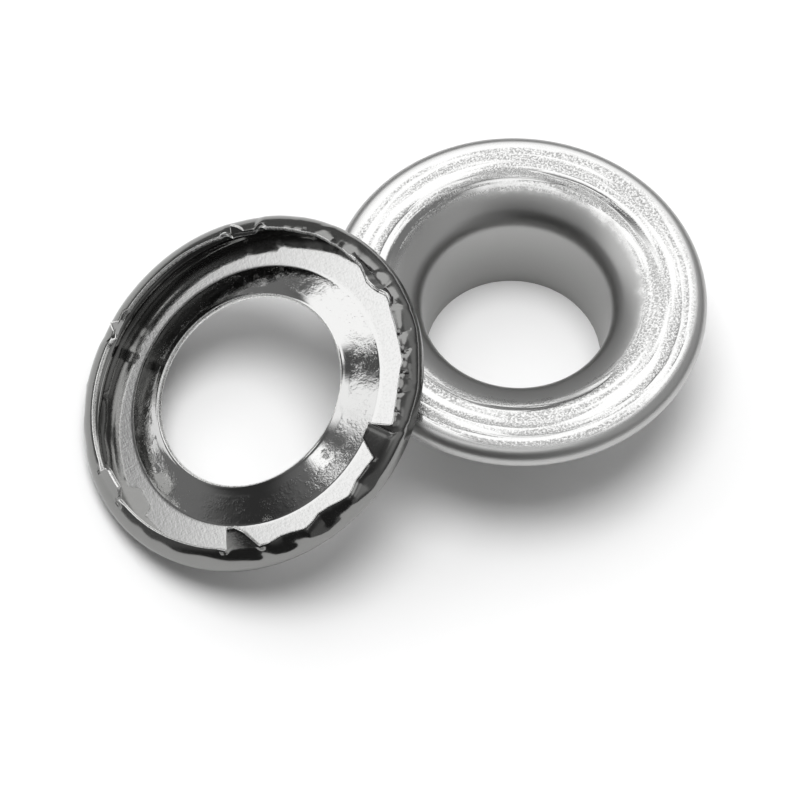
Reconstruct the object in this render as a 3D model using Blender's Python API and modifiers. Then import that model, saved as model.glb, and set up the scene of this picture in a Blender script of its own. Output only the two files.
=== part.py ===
"""Grommet eyelet and its toothed washer, both pressed from plated sheet.

The grommet stands on the cut end of its barrel. The washer lies open side up: its low side rests on the
ground, and its underside leans on the grommet's flange. Metres, +Z up, +X from the washer to the grommet,
with the origin at the middle of the set's footprint.
"""

import math

import bmesh
import bpy
import numpy as np
from mathutils import Vector

MM = 0.001

# Sheet and clearances
SHEET = 0.30 * MM
CONTACT_GAP = 0.30 * MM        # left between the washer and the flange that it leans on
BARREL_CLEARANCE = 0.44 * MM   # between the barrel and the washer's hole, so that the washer slips over it

# Grommet, from the barrel's cut end up to the flange and out to its rim
BORE_RADIUS = 5.70 * MM        # inside the barrel at its cut end
BARREL_FOOT = 0.60 * MM        # upright stretch above the cut end
BARREL_HEIGHT = 5.80 * MM      # from the cut end up to the start of the throat
BARREL_TAPER = 0.28 * MM       # how much wider the bore is at the throat
THROAT_FILLET = 1.60 * MM      # radius of the visible side where barrel turns into flange
THROAT_SWEEP = math.radians(60)
CREST_REACH = 3.62 * MM        # from the throat out to the highest ring of the flange
RIM_REACH = 2.40 * MM          # from that ring out to the flange's edge
RIM_RADIUS = 0.75 * MM         # rounding of the rolled-down edge
RIM_FALL = 0.07 * MM           # how far the flange sinks between its highest ring and the rounding
RIM_SKIRT = 0.40 * MM          # upright stretch of the edge below the rounding

# Toothed washer, from the hole out to the free edge
LIP_WIDTH = 0.46 * MM          # flatter lip round the hole
LIP_FALL = 0.14 * MM
CONE_WIDTH = 1.76 * MM         # cone between the lip and the crease
CONE_FALL = 0.74 * MM
FLOOR_WIDTH = 2.32 * MM        # from the crease to the centre of the rim's lower turn
TURN_RADIUS = 0.78 * MM        # outside radius of the rim's lower turn
CURL_RADIUS = 1.78 * MM        # outside radius of the rim's upper curl
CURL_SWEEP = math.radians(56)
EDGE_LIP = 0.14 * MM           # narrow upright strip along the free edge

# The washer leans on the flange
SET_APART = 5.78 * MM               # from the flange's edge out to the centre of the washer
LEAN_TURN = math.radians(-2.5)      # how far it leans to one side of the line between the two centres

# Teeth: lean from upright towards the hole, then the tooth's outline as angles and heights
TEETH = (
    (45.0, ((5.0, 0.0), (7.4, 0.30), (9.5, 0.55), (12.5, 0.62), (16.5, 0.35), (20.0, 0.12), (24.0, 0.0))),
    (-46.0, ((67.0, 0.0), (71.4, 0.14), (72.6, 0.35), (73.6, 0.52), (75.6, 0.72), (76.4, 0.0))),
    (-37.0, ((127.0, 0.0), (129.5, 0.57), (132.0, 0.0))),
    (52.0, ((184.2, 0.0), (185.2, 0.60), (187.0, 0.75), (191.0, 0.72), (195.0, 0.68), (197.2, 0.0))),
    (46.0, ((246.3, 0.0), (247.2, 0.80), (248.4, 1.45), (251.6, 1.50), (254.4, 1.10), (258.0, 0.0))),
    (52.0, ((306.5, 0.0), (308.4, 0.65), (310.4, 1.25), (316.0, 1.38), (317.2, 0.80), (318.2, 0.0))),
)
CURL_GIVE = 1.4                     # how late up the curl the unevenness of its free edge sets in
LIP_LEAN = 45.0                     # lean of the narrow strip between the teeth
LEAN_EASE = 4.0                     # degrees over which that strip takes up a tooth's lean

# Free edge, which the pressing left uneven: angle, and how far it is pushed in from its even circle
FREE_EDGE = (
    (3.0, -0.08), (10.0, 0.05), (20.0, 0.20), (27.0, 0.22), (34.0, 0.12), (45.0, 0.08), (54.0, 0.13),
    (65.5, 0.06), (67.5, 0.45), (76.4, 0.45), (79.0, 0.12), (95.0, 0.05), (124.0, 0.15), (127.0, 0.26),
    (132.0, 0.34), (133.5, 0.45), (137.0, 0.08), (160.0, 0.04), (184.0, 0.04), (197.0, 0.12), (228.0, 0.08),
    (241.0, 0.00), (258.0, -0.06), (261.5, -0.18), (266.0, 0.00), (270.0, -0.10), (274.5, -0.34),
    (277.5, -0.20), (280.5, 0.02), (285.5, -0.10), (292.0, -0.50), (297.0, -0.16), (306.0, -0.16),
    (319.5, -0.34), (326.5, -0.18), (332.0, -0.12), (337.5, -0.14), (339.5, -0.28), (344.0, -0.16),
    (349.0, -0.04), (357.5, 0.02),
)

# Fineness of the meshes
GROMMET_SEGMENTS = 72
THROAT_POINTS = 6
FUNNEL_POINTS = 5
EDGE_POINTS = 6
TURN_POINTS = 3
COLUMN_STEP = 3.2              # most degrees between the washer's columns
TOOTH_STRIPS = 3
CURL_STRIPS = 3
CONTACT_STEP = 0.20 * MM       # spacing of the washer's points that are tried against the flange
CONTACT_TURN = 3               # degrees between them round the washer
STEEPEST_LEAN = math.radians(80)
LEAN_HALVINGS = 24

# Results that several pieces share
BARREL_RADIUS = BORE_RADIUS + SHEET
THROAT_RADIUS = BORE_RADIUS + BARREL_TAPER
CREST_RADIUS = THROAT_RADIUS + CREST_REACH
FLANGE_RADIUS = CREST_RADIUS + RIM_REACH
HOLE_RADIUS = BARREL_RADIUS + BARREL_CLEARANCE
CREASE_RADIUS = HOLE_RADIUS + LIP_WIDTH + CONE_WIDTH
TURN_CENTRE = CREASE_RADIUS + FLOOR_WIDTH
WASHER_OFFSET = FLANGE_RADIUS + SET_APART


def clear_scene():
    for obj in list(bpy.data.objects):
        bpy.data.objects.remove(obj, do_unlink=True)


def plated_metal(name, colour, roughness):
    material = bpy.data.materials.new(name)
    material.use_nodes = True
    shader = material.node_tree.nodes["Principled BSDF"]
    shader.inputs["Base Color"].default_value = (*colour, 1.0)
    shader.inputs["Metallic"].default_value = 1.0
    shader.inputs["Roughness"].default_value = roughness
    return material


def arc(centre_r, centre_z, radius, start, end, count):
    """Points from one angle to the other, both included; angle 0 points away from the axis."""
    return [
        (centre_r + radius * math.cos(angle), centre_z + radius * math.sin(angle))
        for angle in np.linspace(start, end, count)
    ]


def grommet_section():
    """Visible side of the grommet's sheet, from the barrel's cut end to the flange's lower edge."""
    barrel = [(BORE_RADIUS, 0.0), (BORE_RADIUS, BARREL_FOOT)]
    throat = arc(
        THROAT_RADIUS + THROAT_FILLET, BARREL_HEIGHT, THROAT_FILLET,
        math.pi, math.pi - THROAT_SWEEP, THROAT_POINTS,
    )
    # a parabola takes over the fillet's slope and is level at the crest
    funnel_r, funnel_z = throat[-1]
    slope = 1.0 / math.tan(THROAT_SWEEP)
    run = CREST_RADIUS - funnel_r
    crest_z = funnel_z + slope * run / 2
    funnel = [
        (funnel_r + run * t, crest_z - slope * run / 2 * (1 - t) ** 2)
        for t in np.linspace(0, 1, FUNNEL_POINTS + 1)[1:]
    ]
    # from the crest the flange sinks a little before the rounded edge
    rim_r = FLANGE_RADIUS - RIM_RADIUS
    rim_z = crest_z - RIM_FALL
    shoulder = [
        (CREST_RADIUS + (rim_r - CREST_RADIUS) * t, crest_z - RIM_FALL * t ** 2)
        for t in (0.5, 1.0)
    ]
    edge = arc(rim_r, rim_z - RIM_RADIUS, RIM_RADIUS, math.pi / 2, 0, EDGE_POINTS)[1:]
    skirt = [(FLANGE_RADIUS, rim_z - RIM_RADIUS - RIM_SKIRT)]
    return barrel + throat + funnel + shoulder + edge + skirt


def washer_section():
    """Visible side of the washer's sheet, from the hole to the free edge, and where the curl starts."""
    crease_z = SHEET - TURN_RADIUS
    lip_z = crease_z + CONE_FALL + LIP_FALL
    ring = [
        (HOLE_RADIUS, lip_z),
        (HOLE_RADIUS + LIP_WIDTH, lip_z - LIP_FALL),
        (CREASE_RADIUS, crease_z),
    ]
    turn = arc(TURN_CENTRE, 0.0, TURN_RADIUS - SHEET, -math.pi / 2, 0, TURN_POINTS + 1)[:-1]
    curl_centre = TURN_CENTRE + TURN_RADIUS - CURL_RADIUS
    curl = arc(curl_centre, 0.0, CURL_RADIUS - SHEET, 0, CURL_SWEEP, CURL_STRIPS + 1)
    return ring + turn + curl, len(ring) + len(turn)


def underside(section):
    """The section's other side, one sheet thickness away."""
    points = np.array(section)
    along = np.gradient(points, axis=0)
    along /= np.linalg.norm(along, axis=1)[:, None]
    return points + SHEET * np.stack([along[:, 1], -along[:, 0]], axis=1)


def densify(points, step):
    """Extra points along a line of points, no further apart than the step."""
    dense = [points[0]]
    for start, end in zip(points[:-1], points[1:]):
        count = max(1, math.ceil(np.linalg.norm(end - start) / step))
        dense += [start + (end - start) * (k + 1) / count for k in range(count)]
    return np.array(dense)


def distance_to_line(points, line):
    """Distance of each point to a line of straight stretches."""
    starts, spans = line[:-1], np.diff(line, axis=0)
    offsets = points[:, None, :] - starts[None]
    share = np.clip((offsets * spans).sum(-1) / (spans ** 2).sum(-1), 0, 1)
    return np.linalg.norm(offsets - share[..., None] * spans, axis=-1).min(axis=1)


def washer_centre_height(tilt):
    """Height of the washer's centre with its low side on the ground."""
    return TURN_CENTRE * math.sin(tilt) + TURN_RADIUS


def lean_of_washer():
    """Least tilt at which the washer's underside keeps the contact gap to the flange all round."""
    sheet_top = np.array(grommet_section())
    below = densify(underside(washer_section()[0]), CONTACT_STEP)
    around = np.radians(np.arange(-90, 91, CONTACT_TURN))
    radial, upward = below[:, 0], below[:, 1]
    across = np.outer(radial, np.cos(around))
    sideways = np.outer(radial, np.sin(around))
    lifted = np.repeat(upward[:, None], len(around), axis=1)

    def is_clear(tilt):
        ahead = across * math.cos(tilt) - lifted * math.sin(tilt)
        x = ahead * math.cos(LEAN_TURN) - sideways * math.sin(LEAN_TURN) - WASHER_OFFSET
        y = ahead * math.sin(LEAN_TURN) + sideways * math.cos(LEAN_TURN)
        z = across * math.sin(tilt) + lifted * math.cos(tilt) + washer_centre_height(tilt)
        reach = np.hypot(x, y).ravel()
        height = z.ravel()
        top = np.interp(reach, sheet_top[2:, 0], sheet_top[2:, 1])
        sunk = (reach > THROAT_RADIUS) & (reach < FLANGE_RADIUS) & (height < top)
        gap = distance_to_line(np.stack([reach, height], axis=1), sheet_top).min()
        return not sunk.any() and gap >= CONTACT_GAP

    low, high = 0.0, STEEPEST_LEAN
    for _ in range(LEAN_HALVINGS):
        middle = (low + high) / 2
        if is_clear(middle):
            high = middle
        else:
            low = middle
    return high


def washer_columns():
    """Angles of the washer's columns, with the free edge's inset and the tooth's height and lean at each."""
    heights, leans = [], []
    for lean, outline in TEETH:
        heights += outline
        leans.append((outline[0][0] - LEAN_EASE, LIP_LEAN))
        leans += [(angle, lean) for angle, _ in outline]
        leans.append((outline[-1][0] + LEAN_EASE, LIP_LEAN))
    corners = sorted({angle for table in (heights, leans, FREE_EDGE) for angle, _ in table})

    angles = []
    for start, end in zip(corners, corners[1:] + [corners[0] + 360]):
        count = math.ceil((end - start) / COLUMN_STEP)
        angles += [start + (end - start) * k / count for k in range(count)]
    inset, height, lean = (
        np.interp(angles, *zip(*table), period=360) for table in (FREE_EDGE, heights, leans)
    )
    return list(zip(np.radians(angles), inset * MM, height * MM, np.radians(lean)))


def washer_vertex(section, curl_row, column, row):
    """Place of one grid point of the washer's sheet, in the washer's own frame."""
    angle, inset, rise, lean = column
    last = len(section) - 1
    radius, height = section[min(row, last)]
    radius -= inset * max(0.0, (min(row, last) - curl_row) / (last - curl_row)) ** CURL_GIVE
    if row > last:
        reach = (EDGE_LIP + rise) * (row - last) / TOOTH_STRIPS
        radius -= reach * math.sin(lean)
        height += reach * math.cos(lean)
    return Vector((radius * math.cos(angle), radius * math.sin(angle), height))


def make_grommet(collection, parent):
    section = grommet_section()
    mesh = bpy.data.meshes.new("grommet")
    mesh.from_pydata([(r, 0.0, z) for r, z in section], [(k, k + 1) for k in range(len(section) - 1)], [])
    obj = bpy.data.objects.new("grommet", mesh)
    collection.objects.link(obj)
    obj.parent = parent

    screw = obj.modifiers.new("turned sheet", "SCREW")
    screw.steps = GROMMET_SEGMENTS
    screw.render_steps = GROMMET_SEGMENTS
    screw.use_merge_vertices = True
    screw.merge_threshold = 0.00001
    screw.use_smooth_shade = True
    add_sheet(obj)
    mesh.materials.append(plated_metal("satin plated sheet", (0.62, 0.62, 0.61), 0.22))
    return obj


def make_washer(collection, parent):
    section, curl_row = washer_section()
    columns = washer_columns()
    rows = len(section) + TOOTH_STRIPS

    # a flat grid, one square to each column and strip, is bent round to the pressed form
    bm = bmesh.new()
    bmesh.ops.create_grid(bm, x_segments=len(columns), y_segments=rows - 1, size=0.5)
    for vertex in bm.verts:
        column = round((vertex.co.x + 0.5) * len(columns)) % len(columns)
        row = round((vertex.co.y + 0.5) * (rows - 1))
        vertex.co = washer_vertex(section, curl_row, columns[column], row)
    bmesh.ops.remove_doubles(bm, verts=bm.verts, dist=0.000001)
    bmesh.ops.reverse_faces(bm, faces=bm.faces)
    mesh = bpy.data.meshes.new("toothed_washer")
    bm.to_mesh(mesh)
    bm.free()
    mesh.shade_smooth()

    obj = bpy.data.objects.new("toothed_washer", mesh)
    collection.objects.link(obj)
    obj.parent = parent
    tilt = lean_of_washer()
    obj.location = (-WASHER_OFFSET, 0.0, washer_centre_height(tilt))
    obj.rotation_euler = (0.0, -tilt, LEAN_TURN)
    add_sheet(obj)
    mesh.materials.append(plated_metal("bright plated sheet", (0.66, 0.66, 0.65), 0.10))
    return obj


def add_sheet(obj):
    """Give the surface its sheet thickness, on the side away from the one that shows."""
    solidify = obj.modifiers.new("sheet", "SOLIDIFY")
    solidify.thickness = SHEET
    solidify.offset = -1.0
    solidify.use_even_offset = True
    solidify.use_quality_normals = True


def outer_points(obj):
    """World places of the finished mesh's vertices."""
    bpy.context.view_layer.update()
    evaluated = obj.evaluated_get(bpy.context.evaluated_depsgraph_get())
    return np.array([evaluated.matrix_world @ vertex.co for vertex in evaluated.data.vertices])


def set_down(parent, objects):
    """Stand each piece on the ground, and make the middle of the set's footprint the origin."""
    for obj in objects:
        obj.location.z -= outer_points(obj)[:, 2].min()
    points = np.concatenate([outer_points(obj) for obj in objects])
    middle = (points.min(axis=0) + points.max(axis=0)) / 2
    parent.location = (-middle[0], -middle[1], 0.0)
    bpy.context.view_layer.update()


def main():
    clear_scene()
    collection = bpy.data.collections.new("grommet eyelet")
    bpy.context.scene.collection.children.link(collection)
    footprint = bpy.data.objects.new("footprint", None)
    collection.objects.link(footprint)
    pieces = [make_grommet(collection, footprint), make_washer(collection, footprint)]
    set_down(footprint, pieces)


main()
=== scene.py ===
"""Looks of the grommet eyelet: two pieces of plated sheet, finely modelled, in soft studio light.

Sizes here are in millimetres and degrees. Each piece is built in millimetres in its own frame, and
the mesh is scaled to metres at the end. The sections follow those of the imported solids, but the
washer's curl is a little flatter on top and the grommet's rim is less deep, as in the photograph.
"""

import math

import bpy
import numpy as np
from mathutils import Matrix, Vector


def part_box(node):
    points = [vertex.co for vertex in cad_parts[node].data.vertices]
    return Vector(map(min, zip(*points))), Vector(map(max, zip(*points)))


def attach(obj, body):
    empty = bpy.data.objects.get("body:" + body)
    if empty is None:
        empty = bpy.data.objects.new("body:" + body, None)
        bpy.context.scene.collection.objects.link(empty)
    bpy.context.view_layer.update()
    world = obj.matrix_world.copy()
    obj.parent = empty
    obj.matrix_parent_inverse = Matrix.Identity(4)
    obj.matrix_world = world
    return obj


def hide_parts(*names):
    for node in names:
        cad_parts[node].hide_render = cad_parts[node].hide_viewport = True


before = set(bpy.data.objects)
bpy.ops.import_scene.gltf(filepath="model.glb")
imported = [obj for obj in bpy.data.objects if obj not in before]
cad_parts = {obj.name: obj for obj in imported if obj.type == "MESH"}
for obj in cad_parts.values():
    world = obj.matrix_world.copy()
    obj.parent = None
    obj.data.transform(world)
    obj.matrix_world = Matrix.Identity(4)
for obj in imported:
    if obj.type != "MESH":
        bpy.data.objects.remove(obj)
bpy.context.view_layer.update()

MM = 0.001
SHEET = 0.30
OWN_PLACE = "own_place"        # mesh attribute: each vertex's place in its piece's own frame
UNDER_SIDE = "under_side"      # mesh attribute: 1 on the sheet's outer and lower side, else 0

# Grommet: radii and heights of its visible side
BORE_RADIUS = 5.70             # inside the barrel at its cut end
THROAT_RADIUS = 5.98           # inside the barrel where the throat starts
THROAT_FILLET = 1.60
THROAT_SWEEP = 60.0
BARREL_FOOT = 0.60             # upright stretch above the cut end
BARREL_HEIGHT = 5.80
CREST_RADIUS = 9.60            # highest ring of the flange
FLANGE_RADIUS = 12.0
RIM_RADIUS = 0.75
RIM_FALL = 0.07                # how far the flange sinks between its crest and the rim
RIM_SKIRT = 0.15               # upright stretch of the edge below the rounding

# Shallow rings that pressing left in the flange
RING_SPACING = 0.80
RING_HEIGHT = 0.010
RING_START = 9.2               # radius from which the rings are counted
RING_WAVER = 0.5               # radians of a ring's wave by which it wavers round the flange
RING_TURN = 0.6                # radians round the flange to the widest place of that waver
RINGS_FROM, RINGS_TO = 7.6, 11.0
RINGS_RISE, RINGS_FADE = 0.6, 0.4                   # widths over which they set in and fade out

# Washer: radii and heights of its visible side, its centre and its lean
HOLE_RADIUS = 6.44
LIP_RADIUS = 6.90
CREASE_RADIUS = 8.66
TURN_CENTRE = 10.98
TURN_RADIUS = 0.48
WALL_RISE = 0.28
SHOULDER_RADIUS = 0.55         # the roll bends in sharply first, then more gently
SHOULDER_SWEEP = 40.0
CURL_RADIUS = 1.25
CURL_SWEEP = 72.0
LIP_HEIGHT = 0.40
LIP_FALL = 0.14
LIP_BEAD = 0.07                # burr that the punch left round the hole
BEAD_WIDTH = 0.13
EDGE_LIP = 0.14                # narrow strip along the free edge, between the teeth
WASHER_TILT = 26.325
LEAN_TURN = -2.5               # how far it leans to one side of the line between the two centres
WASHER_REACH = 17.78           # from the grommet's axis to the washer's

# Cut edges: how far they bulge, and how round they are, from 0 for square to 1 for half round
GROMMET_BULGE = 0.02
WASHER_BULGE = 0.06
EDGE_ROUNDNESS = 0.6

# Fineness: columns round each piece, rows along its section, and rows that a tooth adds
GROMMET_COLUMNS = 360
GROMMET_ROWS = 84
WASHER_COLUMNS = 720
WASHER_ROWS = 60
TOOTH_ROWS = 12
EDGE_ROWS = 5                  # rows across a cut edge
ARC_POINTS = 24                # points of a round stretch of a section
FINE_STEP = 0.02               # step in which a section's corners are eased
GROMMET_EASE, WASHER_EASE = 0.06, 0.05              # how far a section's corners are eased
GROMMET_CROWDING, WASHER_CROWDING = 1.2, 0.5        # how much closer rows lie where it bends

# Teeth: lean from upright towards the hole, then the tooth's outline as angles and heights
TEETH = (
    (45.0, (
        (5.0, 0.0), (7.4, 0.30), (9.5, 0.55), (12.5, 0.62), (16.5, 0.35), (20.0, 0.12), (24.0, 0.0),
    )),
    (-46.0, (
        (67.0, 0.0), (71.4, 0.14), (72.6, 0.35), (73.6, 0.52), (75.6, 0.72), (76.4, 0.0),
    )),
    (-37.0, (
        (127.0, 0.0), (129.5, 0.57), (132.0, 0.0),
    )),
    (52.0, (
        (184.2, 0.0), (185.2, 0.60), (187.0, 0.75), (191.0, 0.72), (195.0, 0.68), (197.2, 0.0),
    )),
    (46.0, (
        (246.3, 0.0), (247.2, 0.80), (248.4, 1.45), (251.6, 1.50), (254.4, 1.10), (258.0, 0.0),
    )),
    (52.0, (
        (306.5, 0.0), (308.4, 0.65), (310.4, 1.25), (316.0, 1.38), (317.2, 0.80), (318.2, 0.0),
    )),
)
CURL_GIVE = 1.4                # how late up the curl the unevenness of its free edge sets in
LIP_LEAN = 72.0                # lean of the narrow strip between the teeth
LEAN_EASE = 4.0                # degrees over which that strip takes up a tooth's lean
EDGE_EASE = 0.35               # degrees over which the corners of the free edge are rounded

# Free edge, which the pressing left uneven: angle, and how far it is pushed in from its circle
FREE_EDGE = (
    (3.0, -0.08), (10.0, 0.05), (20.0, 0.20), (27.0, 0.22), (34.0, 0.12), (45.0, 0.08),
    (54.0, 0.13), (65.5, 0.06), (67.5, 0.45), (76.4, 0.45), (79.0, 0.12), (95.0, 0.05),
    (124.0, 0.15), (127.0, 0.26), (132.0, 0.34), (133.5, 0.45), (137.0, 0.08), (160.0, 0.04),
    (184.0, 0.04), (197.0, 0.12), (228.0, 0.08), (241.0, 0.00), (258.0, -0.06), (261.5, -0.18),
    (266.0, 0.00), (270.0, -0.10), (274.5, -0.34), (277.5, -0.20), (280.5, 0.02), (285.5, -0.10),
    (292.0, -0.50), (297.0, -0.16), (306.0, -0.16), (319.5, -0.34), (326.5, -0.18), (332.0, -0.12),
    (337.5, -0.14), (339.5, -0.28), (344.0, -0.16), (349.0, -0.04), (357.5, 0.02),
)

# Creases of the curl: angle at the free edge, drift down to the outline, half width, and depth at
# the free edge, where a positive depth goes in
CREASES = (
    (24.0, 9.0, 3.0, 0.08),
    (30.0, 9.0, 2.6, -0.07),
    (36.5, 8.0, 3.2, 0.09),
    (43.0, -5.0, 2.6, -0.06),
    (49.0, 8.0, 3.0, 0.07),
    (56.0, 7.0, 3.0, -0.05),
    (-17.0, 5.0, 1.8, 0.12),
    (-24.0, -5.0, 1.8, 0.11),
    (-44.0, 3.0, 2.0, 0.12),
    (1.0, -3.0, 2.0, 0.10),
    (-10.5, 4.0, 1.5, 0.09),
    (7.5, 4.0, 1.8, 0.10),
    (14.0, -3.0, 1.8, -0.06),
    (-31.0, 4.0, 1.8, 0.10),
    (-37.5, -3.0, 1.6, 0.07),
)
CREASE_ONSET = 1.2             # how late up the curl a crease deepens

# Dents of the curl: angle, share of the way up it, half width, half height as a share, depth
DENTS = (
    (-8.0, 0.52, 4.2, 0.24, 0.11),
    (-30.0, 0.55, 5.5, 0.35, 0.07),
    (-103.0, 0.62, 3.0, 0.30, 0.10),
    (-92.0, 0.62, 3.4, 0.32, 0.13),
    (-79.5, 0.62, 3.4, 0.32, 0.15),
    (-74.0, 0.40, 2.6, 0.25, 0.07),
    (-61.0, 0.60, 3.0, 0.30, 0.13),
    (-68.0, 0.80, 2.2, 0.22, -0.06),
    (-85.5, 0.80, 2.0, 0.22, -0.06),
    (-124.0, 0.45, 6.0, 0.30, 0.10),
    (-140.0, 0.60, 4.0, 0.30, 0.05),
    (-150.0, 0.55, 3.0, 0.30, 0.05),
    (150.5, 0.10, 1.6, 0.16, -0.12),
    (158.5, 0.25, 4.0, 0.30, 0.06),
    (170.5, 0.30, 4.0, 0.30, 0.06),
)
DENTS_END = -0.6               # lowest place of a dent, on the scale of shares of the way up it

# Colours of the metals
FLANGE_METAL = (0.71, 0.71, 0.705)
DULL_GRAIN_AND_RIM_SHADE_METAL = (0.50, 0.50, 0.495)                    # the flange's matte grains, and painted shade on its rim
# the barrel inside the bore, darkened as painted shade
SHADED_BARREL_METAL = (0.32, 0.32, 0.315)
THROAT_METAL = (0.50, 0.50, 0.495)
WASHER_METAL = (0.62, 0.62, 0.615)                  # the washer's cone and floor
SHADED_UNDER_METAL = (0.25, 0.25, 0.245)                   # its underside, darkened as painted shade on its outer wall and curl
SHADED_WALL_METAL = (0.27, 0.27, 0.265)                    # the inside of its rim, darkened as painted shade
# the cut edges' own metal, set brighter than the plating as painted glints
GLINT_EDGE_METAL = (0.85, 0.85, 0.84)

# Roughness: of each ground, and what its marks add to it
FLANGE_ROUGH = 0.09
DULL_ROUGH = 0.36
THROAT_ROUGH = 0.38
WASHER_ROUGH = 0.06
SPECKLE_ROUGH = 0.30
SPECK_ROUGH = 0.08
UNDER_ROUGH = 0.09

# Radii between which one finish goes over into the next; at the barrel's, the rim's and the wall's
# borders painted shade also sets in
BARREL_BORDER = (5.75, 6.1)
FUNNEL_BORDER = (8.0, 9.0)
FUNNEL_WAVER = 1.2             # how far patches move the funnel's border
RIM_BORDER = (11.0, 11.6)
# how strongly the rim is roughened and darkened, the darkening being painted shade
RIM_DULL_AND_SHADE = 0.9
WALL_BORDER = (10.9, 11.1)

# Rings of a finish: first and last radius, and how soft their ends are
DAPPLED = (7.9, 11.1, 0.25)
CONE = (6.95, 8.6, 0.1)
FLOOR = (8.7, 10.9, 0.15)

# Noises: scale to the millimetre, detail, roughness
PATCH_NOISE = (0.9, 4.0, 0.7)
DAPPLE_NOISE = (8.0, 2.5, 0.6)
FINE_NOISE = (17.6, 2.0, 0.5)
ARC_NOISE = (1.0, 2.0, 0.5)
LINE_NOISE = (1.0, 3.0, 0.6)
PIT_NOISE = (6.5, 2.0, 0.7)
CLOUD_NOISE = (1.1, 3.0, 0.6)
GRAIN_NOISE = (4.0, 3.0, 0.6)
COARSE_NOISE = (6.0, 3.0, 0.6)

# How much faster a drawn-out noise changes round the piece and across it, or along each axis
ARC_DRAW = (1.5, 2.0)
TURNED_DRAW = (1.0, 14.0)
STREAK_DRAW = (1.3, 9.0, 2.0)
CROSS_DRAW = (8.0, 1.5, 2.0)

# What is made of a noise: its low and high value, and the levels that they get where not 0 and 1
ARC_RANGE = (0.43, 0.58, 0.06, 1.0)
DAPPLE_RANGE = (0.36, 0.62)
CLOUD_RANGE = (0.42, 0.6, 0.25, 1.0)
SPECKLE_RANGE = (0.56, 0.68)
SPECK_RANGE = (0.45, 0.65)
COARSE_RANGE = (0.3, 0.7, 0.18, 0.4)

# How deep the textures go, in metres
DAPPLE_DEPTH = 0.000016
FINE_DEPTH = 0.0000006
RING_DEPTH = 0.0000008
PIT_DEPTH = 0.000010
SCRATCH_DEPTH = 0.0000012
GRAIN_DEPTH = 0.0000018
EDGE_DEPTH = 0.000008

# Studio round the object: azimuth, elevation, half width, half height, softness, brightness.
# A later zone lies over the earlier ones.
ZONES = (
    (105.0, 10.0, 75.0, 19.0, 8.0, 0.20),
    (-136.0, 18.0, 40.0, 25.0, 7.0, 0.04),
    (-78.0, 20.0, 22.0, 25.0, 8.0, 0.22),
    (0.0, 38.0, 60.0, 18.0, 12.0, 0.52),
    (30.0, 62.0, 50.0, 12.0, 8.0, 0.22),
    (-168.0, 63.0, 20.0, 12.0, 8.0, 0.20),
    (-108.0, 56.0, 17.0, 13.0, 5.0, 0.08),
    (70.0, 52.0, 32.0, 19.0, 3.0, 1.45),
    (125.0, 58.0, 36.0, 20.5, 3.0, 1.45),
    (-45.0, 61.0, 26.0, 9.0, 6.0, 0.7),
    (-151.5, 63.0, 5.0, 4.5, 2.0, 1.6),
    (0.0, 90.0, 180.0, 13.0, 4.0, 1.3),
    (96.0, 71.0, 19.0, 7.0, 3.0, 0.10),
)
ROOM = 0.12                    # brightness of the rest of the room
BACKDROP = 1.0                 # what the camera itself sees of it: white
LAMP_RADIUS = 165.0
LAMP_HEIGHT = 500.0
LAMP_LEAN = -5.0               # degrees from overhead, towards the camera where positive
LAMP_POWER = 1.62              # watts
FLOOR_RADIUS = 350.0
FLOOR_CORNERS = 128
FLOOR_SHADE = 0.96

# Camera that took the picture
VIEW_AZIMUTH = -21.21
VIEW_ELEVATION = 60.40
VIEW_DISTANCE = 232.22
VIEW_TARGET = (0.198, -0.664, 0.0)
VIEW_ROLL = 1.48
LENS = 162.0
SENSOR = 36.0
NEAREST, FARTHEST = 10.0, 10000.0                   # distances between which it sees


def unit(vectors):
    """The same vectors, one long."""
    return vectors / np.linalg.norm(vectors, axis=-1, keepdims=True)


def arc(centre_r, centre_z, radius, start, end):
    """Points of a round stretch; angle 0 points away from the axis."""
    turn = np.radians(np.linspace(start, end, ARC_POINTS))
    return np.stack([centre_r + radius * np.cos(turn), centre_z + radius * np.sin(turn)], axis=1)


def rows_along(points, blur, count, crowding):
    """Points along a section with its corners eased, closer together where it bends."""
    reach = np.append(0.0, np.cumsum(np.linalg.norm(np.diff(points, axis=0), axis=1)))
    fine = np.linspace(0.0, reach[-1], round(reach[-1] / FINE_STEP))
    line = np.stack([np.interp(fine, reach, points[:, k]) for k in (0, 1)], axis=1)
    pad = math.ceil(3 * blur / FINE_STEP)
    kernel = np.exp(-0.5 * (np.arange(-pad, pad + 1) * FINE_STEP / blur) ** 2)
    kernel /= kernel.sum()
    before = 2 * line[0] - line[pad:0:-1]
    after = 2 * line[-1] - line[-2:-pad - 2:-1]
    padded = np.concatenate([before, line, after])
    eased = np.stack([np.convolve(padded[:, k], kernel, "valid") for k in (0, 1)], axis=1)
    steps = np.diff(eased, axis=0)
    turning = np.abs(np.gradient(np.unwrap(np.arctan2(steps[:, 1], steps[:, 0]))))
    spent = np.append(0.0, np.cumsum(np.linalg.norm(steps, axis=1) + crowding * turning))
    wanted = np.linspace(0.0, spent[-1], count)
    return np.stack([np.interp(wanted, spent, eased[:, k]) for k in (0, 1)], axis=1)


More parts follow.
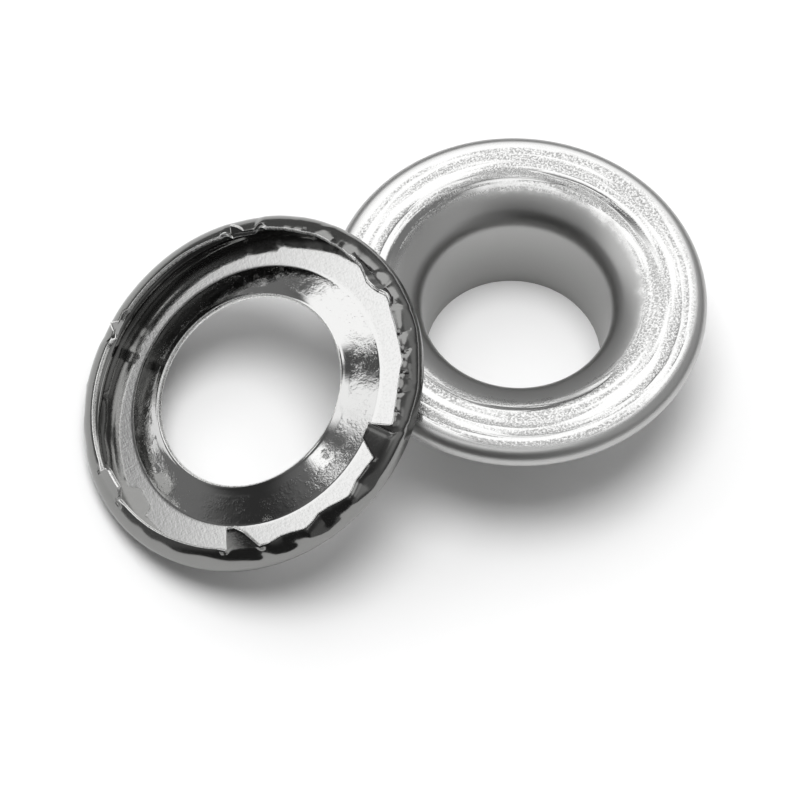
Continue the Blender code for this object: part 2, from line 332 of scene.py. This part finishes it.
def add_closed_sheet(name, surface, bulge, materials, turned=Matrix.Identity(3)):
    """A closed sheet from points on its visible side: columns go round, rows from edge to edge.

    The mesh is turned into the part's frame; each vertex keeps its place before that, for the
    materials. The sheet's other side has every second row.
    """
    around = np.roll(surface, -1, axis=0) - np.roll(surface, 1, axis=0)
    along = np.gradient(surface, axis=1)
    outward = unit(np.cross(along, around))
    away = unit(np.cross(around, outward))
    turn = np.linspace(0.0, math.pi, EDGE_ROWS + 2)[1:-1]
    across = np.sign(np.cos(turn)) * np.abs(np.cos(turn)) ** EDGE_ROUNDNESS * SHEET / 2
    beyond = np.abs(np.sin(turn)) ** EDGE_ROUNDNESS * bulge

    def edge(row, side):
        """Points across the cut edge at one row, bulging to one side."""
        middle = surface[:, row] - outward[:, row] * SHEET / 2
        return np.stack([
            middle + outward[:, row] * a + away[:, row] * side * b for a, b in zip(across, beyond)
        ], axis=1)

    back = (surface - SHEET * outward)[:, ::-2]
    ring = np.concatenate([surface, edge(-1, 1.0), back, edge(0, -1.0)[:, ::-1]], axis=1)
    columns, rows = ring.shape[:2]
    index = np.arange(columns * rows).reshape(columns, rows)
    beside = np.roll(index, -1, axis=0)
    corners = [index, np.roll(index, -1, axis=1), np.roll(beside, -1, axis=1), beside]
    faces = np.stack(corners, axis=-1).reshape(-1, 4)

    points = ring.reshape(-1, 3)
    mesh = bpy.data.meshes.new(name)
    mesh.from_pydata((points @ np.array(turned).T * MM).tolist(), [], faces.tolist())
    mesh.shade_smooth()
    own_place = mesh.attributes.new(OWN_PLACE, "FLOAT_VECTOR", "POINT")
    own_place.data.foreach_set("vector", points.ravel())

    last = surface.shape[1] - 1
    first_back = last + 1 + EDGE_ROWS
    is_under = np.zeros((columns, rows))
    is_under[:, first_back:first_back + back.shape[1]] = 1.0
    under_side = mesh.attributes.new(UNDER_SIDE, "FLOAT", "POINT")
    under_side.data.foreach_set("value", is_under.ravel())

    for material in materials:
        mesh.materials.append(material)
    is_edge = np.zeros(rows, dtype=np.int32)
    is_edge[last:last + EDGE_ROWS + 1] = 1
    is_edge[-EDGE_ROWS - 1:] = 1
    mesh.polygons.foreach_set("material_index", np.tile(is_edge, columns))
    obj = bpy.data.objects.new(name, mesh)
    bpy.context.scene.collection.objects.link(obj)
    return obj


def grommet_rows():
    """The grommet's visible side, from the barrel's cut end over the flange and down its rim."""
    throat = arc(
        THROAT_RADIUS + THROAT_FILLET, BARREL_HEIGHT, THROAT_FILLET, 180.0, 180.0 - THROAT_SWEEP
    )
    slope = 1.0 / math.tan(math.radians(THROAT_SWEEP))
    run = CREST_RADIUS - throat[-1, 0]
    crest = throat[-1, 1] + slope * run / 2
    share = np.linspace(0.0, 1.0, ARC_POINTS)[1:]
    funnel = np.stack(
        [throat[-1, 0] + run * share, crest - slope * run / 2 * (1 - share) ** 2], axis=1
    )
    rim_r = FLANGE_RADIUS - RIM_RADIUS
    shoulder = np.stack(
        [CREST_RADIUS + (rim_r - CREST_RADIUS) * share, crest - RIM_FALL * share ** 2], axis=1
    )
    edge = arc(rim_r, crest - RIM_FALL - RIM_RADIUS, RIM_RADIUS, 90.0, 0.0)
    foot = np.array([(BORE_RADIUS, 0.0), (BORE_RADIUS, BARREL_FOOT)])
    skirt = np.array([(FLANGE_RADIUS, edge[-1, 1] - RIM_SKIRT)])
    points = np.concatenate([foot, throat, funnel, shoulder, edge[1:], skirt])
    return rows_along(points, GROMMET_EASE, GROMMET_ROWS, GROMMET_CROWDING)


def make_grommet(materials):
    """The funnel-shaped grommet, with the shallow rings that pressing leaves in its flange."""
    low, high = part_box("grommet")
    section = grommet_rows()
    angle = np.radians(np.arange(GROMMET_COLUMNS) * 360.0 / GROMMET_COLUMNS)[:, None]
    radius = np.broadcast_to(section[:, 0], (GROMMET_COLUMNS, GROMMET_ROWS))
    on_flange = np.clip((radius - RINGS_FROM) / RINGS_RISE, 0, 1) * np.clip(
        (RINGS_TO - radius) / RINGS_FADE, 0, 1
    )
    waver = RING_WAVER * np.cos(angle - RING_TURN)
    rings = np.sin(2 * math.pi * (radius - RING_START) / RING_SPACING + waver)
    height = section[:, 1] + on_flange * RING_HEIGHT * (rings - 1)
    surface = np.stack([radius * np.cos(angle), radius * np.sin(angle), height], axis=-1)
    obj = add_closed_sheet("plated_grommet", surface, GROMMET_BULGE, materials)
    obj.location = ((low.x + high.x) / 2, (low.y + high.y) / 2, low.z + GROMMET_BULGE * MM)
    return obj


def washer_rows():
    """The washer's visible side, from its hole to the end of the curl, and its widest row."""
    floor = -TURN_RADIUS
    ring = np.array([
        (HOLE_RADIUS, LIP_HEIGHT + LIP_BEAD),
        (HOLE_RADIUS + BEAD_WIDTH, LIP_HEIGHT),
        (LIP_RADIUS, LIP_HEIGHT - LIP_FALL),
        (CREASE_RADIUS, floor),
        (TURN_CENTRE, floor),
    ])
    turn = arc(TURN_CENTRE, 0.0, TURN_RADIUS, -90.0, 0.0)
    shoulder_r = TURN_CENTRE + TURN_RADIUS - SHOULDER_RADIUS
    shoulder = arc(shoulder_r, WALL_RISE, SHOULDER_RADIUS, 0.0, SHOULDER_SWEEP)
    bend = math.radians(SHOULDER_SWEEP)
    curl_r = shoulder[-1, 0] - CURL_RADIUS * math.cos(bend)
    curl_z = shoulder[-1, 1] - CURL_RADIUS * math.sin(bend)
    curl = arc(curl_r, curl_z, CURL_RADIUS, SHOULDER_SWEEP, CURL_SWEEP)
    points = np.concatenate([ring, turn[1:], shoulder, curl[1:]])
    rows = rows_along(points, WASHER_EASE, WASHER_ROWS, WASHER_CROWDING)
    return rows, int(np.argmax(rows[:, 0]))


def ease(values):
    """Round off the corners of values that are given round the washer."""
    span = EDGE_EASE * WASHER_COLUMNS / 360.0
    away = np.arange(-round(4 * span), round(4 * span) + 1)
    weight = np.exp(-0.5 * (away / span) ** 2)
    return sum(w * np.roll(values, a) for w, a in zip(weight / weight.sum(), away))


def free_edge(angle):
    """Inset of the free edge, height of the teeth and lean, at each angle."""
    heights, leans = [], []
    for lean, outline in TEETH:
        heights += outline
        leans.append((outline[0][0] - LEAN_EASE, LIP_LEAN))
        leans += [(place, lean) for place, _ in outline]
        leans.append((outline[-1][0] + LEAN_EASE, LIP_LEAN))
    tables = (FREE_EDGE, heights, leans)
    return [np.interp(angle, *zip(*table), period=360.0) for table in tables]


def turn_away(angle, middle):
    """Signed degrees from one angle to another, the short way."""
    return (angle - middle + 180.0) % 360.0 - 180.0


def curl_depth(angle, climb):
    """How far the curl is pushed in, by angle round the washer and share of the way up the curl."""
    depth = np.zeros((len(angle), len(climb)))
    rise = np.clip(climb, 0.0, 1.0)
    for middle, drift, half_width, crease in CREASES:
        line = middle + drift * (1.0 - rise[None, :])
        sideways = turn_away(angle[:, None], line) / half_width
        depth += crease * np.clip(1.0 - np.abs(sideways), 0.0, 1.0) * rise ** CREASE_ONSET
    for middle, level, half_width, half_height, dent in DENTS:
        sideways = turn_away(angle, middle) / half_width
        upward = (climb - level) / half_height
        depth += dent * np.exp(-sideways[:, None] ** 2 - upward[None, :] ** 2)
    return depth * (climb > DENTS_END)


def make_washer(materials):
    """The washer, open side up: cone, floor, rolled and creased wall, and teeth on its edge."""
    section, widest = washer_rows()
    angle = np.arange(WASHER_COLUMNS) * 360.0 / WASHER_COLUMNS - 180.0
    turn = np.radians(angle)[:, None]
    inset, rise, lean = free_edge(angle)
    inset = ease(inset)

    climb = np.clip((np.arange(WASHER_ROWS) - widest) / (WASHER_ROWS - 1 - widest), -1.0, 1.0)
    steps = np.gradient(section, axis=0)
    inward = unit(np.stack([-steps[:, 1], steps[:, 0]], axis=1))
    depth = curl_depth(angle, climb)
    give = inset[:, None] * np.clip(climb, 0.0, 1.0) ** CURL_GIVE
    radius = section[:, 0] + depth * inward[:, 0] - give
    height = section[:, 1] + depth * inward[:, 1]

    # the teeth and the narrow lip between them grow from the end of the curl
    reach = (EDGE_LIP + rise)[:, None] * np.linspace(0, 1, TOOTH_ROWS + 1)[1:]
    bend = np.radians(lean)[:, None]
    radius = np.concatenate([radius, radius[:, -1:] - reach * np.sin(bend)], axis=1)
    height = np.concatenate([height, height[:, -1:] + reach * np.cos(bend)], axis=1)

    surface = np.stack([radius * np.cos(turn), radius * np.sin(turn), height], axis=-1)
    tilt = Matrix.Rotation(math.radians(-WASHER_TILT), 3, "Y")
    lean_back = Matrix.Rotation(math.radians(LEAN_TURN), 3, "Z") @ tilt
    obj = add_closed_sheet("plated_washer", surface, WASHER_BULGE, materials, lean_back)
    low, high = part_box("grommet")
    lowest = min(vertex.co.z for vertex in obj.data.vertices)
    obj.location = ((low.x + high.x) / 2 - WASHER_REACH * MM, 0.0, -lowest)
    return obj


def add_node(tree, kind, inputs=None, **settings):
    """One node. Each input is a value, or a socket that it is linked to."""
    node = tree.nodes.new(kind)
    for name, value in settings.items():
        setattr(node, name, value)
    for key, value in (inputs or {}).items():
        if isinstance(value, bpy.types.NodeSocket):
            tree.links.new(value, node.inputs[key])
        else:
            node.inputs[key].default_value = value
    return node


def math_node(tree, operation, first, second=0.0, third=0.0):
    """The result of one sum."""
    inputs = {0: first, 1: second, 2: third}
    return add_node(tree, "ShaderNodeMath", inputs, operation=operation).outputs[0]


def ramp(tree, value, low, high, at_low=0.0, at_high=1.0):
    """A value eased from one level to another as its source goes from low to high."""
    inputs = {
        "Value": value, "From Min": low, "From Max": high, "To Min": at_low, "To Max": at_high,
    }
    node = add_node(tree, "ShaderNodeMapRange", inputs, interpolation_type="SMOOTHSTEP")
    return node.outputs["Result"]


def band(tree, value, start, end, blur):
    """One between two values of its source, nothing outside them."""
    rise = ramp(tree, value, start - blur, start + blur)
    fall = ramp(tree, value, end - blur, end + blur, 1.0, 0.0)
    return math_node(tree, "MULTIPLY", rise, fall)


def number_between(tree, share, first, second):
    """A mix of two numbers."""
    inputs = {0: share, 2: first, 3: second}
    return add_node(tree, "ShaderNodeMix", inputs, data_type="FLOAT").outputs[0]


def colour_between(tree, share, first, second):
    """A mix of two colours, each of which may be a socket."""
    pair = [
        colour if isinstance(colour, bpy.types.NodeSocket) else (*colour, 1.0)
        for colour in (first, second)
    ]
    inputs = {0: share, 6: pair[0], 7: pair[1]}
    return add_node(tree, "ShaderNodeMix", inputs, data_type="RGBA").outputs[2]


def noise_of(tree, vector, scale, detail, roughness):
    """A cloudy noise."""
    inputs = {"Vector": vector, "Scale": scale, "Detail": detail, "Roughness": roughness}
    return add_node(tree, "ShaderNodeTexNoise", inputs).outputs[0]


def scaled(tree, vector, factors):
    """A vector with its parts multiplied."""
    inputs = {0: vector, 1: factors}
    return add_node(tree, "ShaderNodeVectorMath", inputs, operation="MULTIPLY").outputs[0]


def ring_space(tree, place, radius, around, across):
    """A place in which a texture is drawn out round the piece."""
    way = add_node(tree, "ShaderNodeVectorMath", {0: place}, operation="NORMALIZE").outputs[0]
    parts = add_node(tree, "ShaderNodeSeparateXYZ", {0: scaled(tree, way, (around, around, 0.0))})
    outwards = math_node(tree, "MULTIPLY", radius, across)
    inputs = {"X": parts.outputs[0], "Y": parts.outputs[1], "Z": outwards}
    return add_node(tree, "ShaderNodeCombineXYZ", inputs).outputs[0]


def bump(tree, height, distance, below=None):
    """A relief, on top of another one where there is one."""
    inputs = {"Height": height, "Distance": distance, "Strength": 1.0}
    if below is not None:
        inputs["Normal"] = below
    return add_node(tree, "ShaderNodeBump", inputs).outputs[0]


def start_metal(name, colour):
    """A metal, its nodes, its shader, and the place and radius in its piece's own frame."""
    material = bpy.data.materials.new(name)
    material.use_nodes = True
    tree = material.node_tree
    shader = tree.nodes["Principled BSDF"]
    shader.inputs["Metallic"].default_value = 1.0
    shader.inputs["Base Color"].default_value = (*colour, 1.0)
    place = add_node(tree, "ShaderNodeAttribute", attribute_name=OWN_PLACE).outputs["Vector"]
    flat = scaled(tree, place, (1.0, 1.0, 0.0))
    radius = add_node(tree, "ShaderNodeVectorMath", {0: flat}, operation="LENGTH").outputs["Value"]
    return material, tree, shader, place, radius


def satin_plating():
    """Bright on the flange, where matte grains lie in arcs, with painted shade on its rim; matte
    and darkened as painted shade down the barrel.
    """
    material, tree, shader, place, radius = start_metal("satin plating", FLANGE_METAL)
    # painted shade: the barrel inside the bore gets a darker copy of the plating
    barrel = ramp(tree, radius, *BARREL_BORDER, 1.0, 0.0)
    rim = ramp(tree, radius, *RIM_BORDER)
    patches = noise_of(tree, place, *PATCH_NOISE)
    polished = math_node(tree, "MULTIPLY_ADD", patches, FUNNEL_WAVER, radius)
    polished = ramp(tree, polished, *FUNNEL_BORDER)
    arcs = noise_of(tree, ring_space(tree, place, radius, *ARC_DRAW), *ARC_NOISE)
    dapples = noise_of(tree, place, *DAPPLE_NOISE)
    share = band(tree, radius, *DAPPLED)
    share = math_node(tree, "MULTIPLY", share, ramp(tree, arcs, *ARC_RANGE))
    dull_grains_and_rim_shade = math_node(tree, "MULTIPLY", share, ramp(tree, dapples, *DAPPLE_RANGE))
    # painted shade: the rim joins the matte grains, so it is both rougher and darker
    dull_grains_and_rim_shade = math_node(tree, "MULTIPLY_ADD", rim, RIM_DULL_AND_SHADE, dull_grains_and_rim_shade)

    shade = colour_between(tree, dull_grains_and_rim_shade, FLANGE_METAL, DULL_GRAIN_AND_RIM_SHADE_METAL)
    shade = colour_between(tree, polished, THROAT_METAL, shade)
    # painted shade inside the bore
    shade = colour_between(tree, barrel, shade, SHADED_BARREL_METAL)
    tree.links.new(shade, shader.inputs["Base Color"])
    rough = math_node(tree, "MULTIPLY_ADD", dull_grains_and_rim_shade, DULL_ROUGH, FLANGE_ROUGH)
    rough = number_between(tree, polished, THROAT_ROUGH, rough)
    tree.links.new(rough, shader.inputs["Roughness"])

    fine = noise_of(tree, place, *FINE_NOISE)
    turned = noise_of(tree, ring_space(tree, place, radius, *TURNED_DRAW), *LINE_NOISE)
    relief = bump(tree, math_node(tree, "MULTIPLY", dapples, share), DAPPLE_DEPTH)
    relief = bump(tree, fine, FINE_DEPTH, relief)
    relief = bump(tree, turned, RING_DEPTH, relief)
    tree.links.new(relief, shader.inputs["Normal"])
    return material


def bright_plating():
    """Near mirror, with speckles and short scratches on the cone and a fine grain on the floor."""
    material, tree, shader, place, radius = start_metal("bright plating", WASHER_METAL)
    under = add_node(tree, "ShaderNodeAttribute", attribute_name=UNDER_SIDE).outputs["Fac"]
    # painted shade: the inside of the rim gets a darker copy of the plating
    wall = ramp(tree, radius, *WALL_BORDER)
    shade = colour_between(tree, wall, WASHER_METAL, SHADED_WALL_METAL)
    # painted shade: the underside gets a darker copy of the plating, so its reflection of the floor
    # reads dim
    shade = colour_between(tree, under, shade, SHADED_UNDER_METAL)
    tree.links.new(shade, shader.inputs["Base Color"])

    pits = noise_of(tree, place, *PIT_NOISE)
    cloud = noise_of(tree, place, *CLOUD_NOISE)
    cone = band(tree, radius, *CONE)
    floor = band(tree, radius, *FLOOR)
    speckled = math_node(tree, "MULTIPLY", cone, ramp(tree, cloud, *CLOUD_RANGE))
    speckles = math_node(tree, "MULTIPLY", ramp(tree, pits, *SPECKLE_RANGE), speckled)
    specks = math_node(tree, "MULTIPLY", floor, ramp(tree, pits, *SPECK_RANGE))
    rough = math_node(tree, "MULTIPLY_ADD", speckles, SPECKLE_ROUGH, WASHER_ROUGH)
    rough = math_node(tree, "MULTIPLY_ADD", specks, SPECK_ROUGH, rough)
    rough = math_node(tree, "MULTIPLY_ADD", under, UNDER_ROUGH, rough)
    tree.links.new(rough, shader.inputs["Roughness"])

    streaks = noise_of(tree, scaled(tree, place, STREAK_DRAW), *LINE_NOISE)
    cross = noise_of(tree, scaled(tree, place, CROSS_DRAW), *LINE_NOISE)
    grain = noise_of(tree, place, *GRAIN_NOISE)
    relief = bump(tree, math_node(tree, "MULTIPLY", pits, speckled), PIT_DEPTH)
    relief = bump(tree, math_node(tree, "ADD", streaks, cross), SCRATCH_DEPTH, relief)
    relief = bump(tree, math_node(tree, "MULTIPLY", grain, floor), GRAIN_DEPTH, relief)
    tree.links.new(relief, shader.inputs["Normal"])
    return material


def cut_metal():
    """The cut edges, coarse from the press, in a brighter metal for painted glints."""
    material, tree, shader, place, _ = start_metal("cut edge", GLINT_EDGE_METAL)
    coarse = noise_of(tree, place, *COARSE_NOISE)
    tree.links.new(ramp(tree, coarse, *COARSE_RANGE), shader.inputs["Roughness"])
    tree.links.new(bump(tree, coarse, EDGE_DEPTH), shader.inputs["Normal"])
    return material


def add_zone(tree, below, azimuth, elevation, zone):
    """Lay one soft-edged zone of its own brightness over the sky."""
    middle, level, half_width, half_height, softness, brightness = zone
    sideways = math_node(tree, "SUBTRACT", azimuth, math.radians(middle))
    sideways = math_node(tree, "WRAP", sideways, math.pi, -math.pi)
    upward = math_node(tree, "SUBTRACT", elevation, math.radians(level))
    shares = []
    for offset, half in ((sideways, half_width), (upward, half_height)):
        start, end = math.radians(half - softness), math.radians(half + softness)
        shares.append(ramp(tree, math_node(tree, "ABSOLUTE", offset), start, end, 1.0, 0.0))
    return number_between(tree, math_node(tree, "MULTIPLY", *shares), below, brightness)


def light_studio():
    """A room of soft light and dark zones, which the camera itself sees as white."""
    world = bpy.data.worlds.new("studio")
    bpy.context.scene.world = world
    world.use_nodes = True
    tree = world.node_tree
    tree.nodes.clear()
    direction = add_node(tree, "ShaderNodeTexCoord").outputs["Generated"]
    parts = add_node(tree, "ShaderNodeSeparateXYZ", {0: direction}).outputs
    azimuth = math_node(tree, "ARCTAN2", parts["Y"], parts["X"])
    elevation = math_node(tree, "ARCSINE", parts["Z"])
    sky = ROOM
    for zone in ZONES:
        sky = add_zone(tree, sky, azimuth, elevation, zone)
    path = add_node(tree, "ShaderNodeLightPath")
    seen = number_between(tree, path.outputs["Is Camera Ray"], sky, BACKDROP)
    background = add_node(tree, "ShaderNodeBackground", {"Color": seen, "Strength": 1.0})
    add_node(tree, "ShaderNodeOutputWorld", {"Surface": background.outputs[0]})


def add_lamp():
    """One large round lamp, almost overhead."""
    data = bpy.data.lights.new("lamp", "AREA")
    data.shape = "DISK"
    data.size = 2 * LAMP_RADIUS * MM
    data.energy = LAMP_POWER
    lamp = bpy.data.objects.new("lamp", data)
    lean, azimuth = math.radians(LAMP_LEAN), math.radians(VIEW_AZIMUTH)
    above = Vector((
        math.sin(azimuth) * math.sin(lean),
        -math.cos(azimuth) * math.sin(lean),
        math.cos(lean),
    ))
    lamp.location = above * LAMP_HEIGHT * MM
    lamp.rotation_mode = "QUATERNION"
    lamp.rotation_quaternion = above.to_track_quat("Z", "Y")
    lamp.visible_glossy = False
    bpy.context.scene.collection.objects.link(lamp)


def add_floor():
    """A plain sheet of white paper under both pieces."""
    bpy.ops.mesh.primitive_circle_add(
        vertices=FLOOR_CORNERS, radius=FLOOR_RADIUS * MM, fill_type="NGON"
    )
    floor = bpy.context.object
    floor.name = "floor"
    material = bpy.data.materials.new("white paper")
    material.use_nodes = True
    shader = material.node_tree.nodes["Principled BSDF"]
    shader.inputs["Base Color"].default_value = (FLOOR_SHADE, FLOOR_SHADE, FLOOR_SHADE, 1.0)
    shader.inputs["Roughness"].default_value = 1.0
    shader.inputs["Specular IOR Level"].default_value = 0.0
    floor.data.materials.append(material)


def add_camera():
    """The picture's camera: a long lens, looking down past the washer to the grommet."""
    azimuth = math.radians(VIEW_AZIMUTH)
    elevation = math.radians(VIEW_ELEVATION)
    roll = math.radians(VIEW_ROLL)
    right = Vector((math.cos(azimuth), math.sin(azimuth), 0.0))
    back = Vector((
        math.sin(azimuth) * math.cos(elevation),
        -math.cos(azimuth) * math.cos(elevation),
        math.sin(elevation),
    ))
    up = back.cross(right)
    rolled_right = math.cos(roll) * right + math.sin(roll) * up
    rolled_up = math.cos(roll) * up - math.sin(roll) * right
    data = bpy.data.cameras.new("camera")
    data.lens = LENS
    data.sensor_width = SENSOR
    data.clip_start = NEAREST * MM
    data.clip_end = FARTHEST * MM
    camera = bpy.data.objects.new("camera", data)
    turn = Matrix((rolled_right, rolled_up, back)).transposed().to_4x4()
    place = Matrix.Translation((Vector(VIEW_TARGET) + VIEW_DISTANCE * back) * MM)
    camera.matrix_world = place @ turn
    bpy.context.scene.collection.objects.link(camera)
    bpy.context.scene.camera = camera


add_camera()
add_floor()
light_studio()
add_lamp()

edge_finish = cut_metal()
grommet = make_grommet([satin_plating(), edge_finish])
washer = make_washer([bright_plating(), edge_finish])
for piece, node, slot in (
    (grommet, "grommet", "grommet"),
    (washer, "toothed_washer", "toothed_washer"),
):
    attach(piece, "root")
    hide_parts(node)

bpy.context.scene.view_settings.view_transform = "Standard"
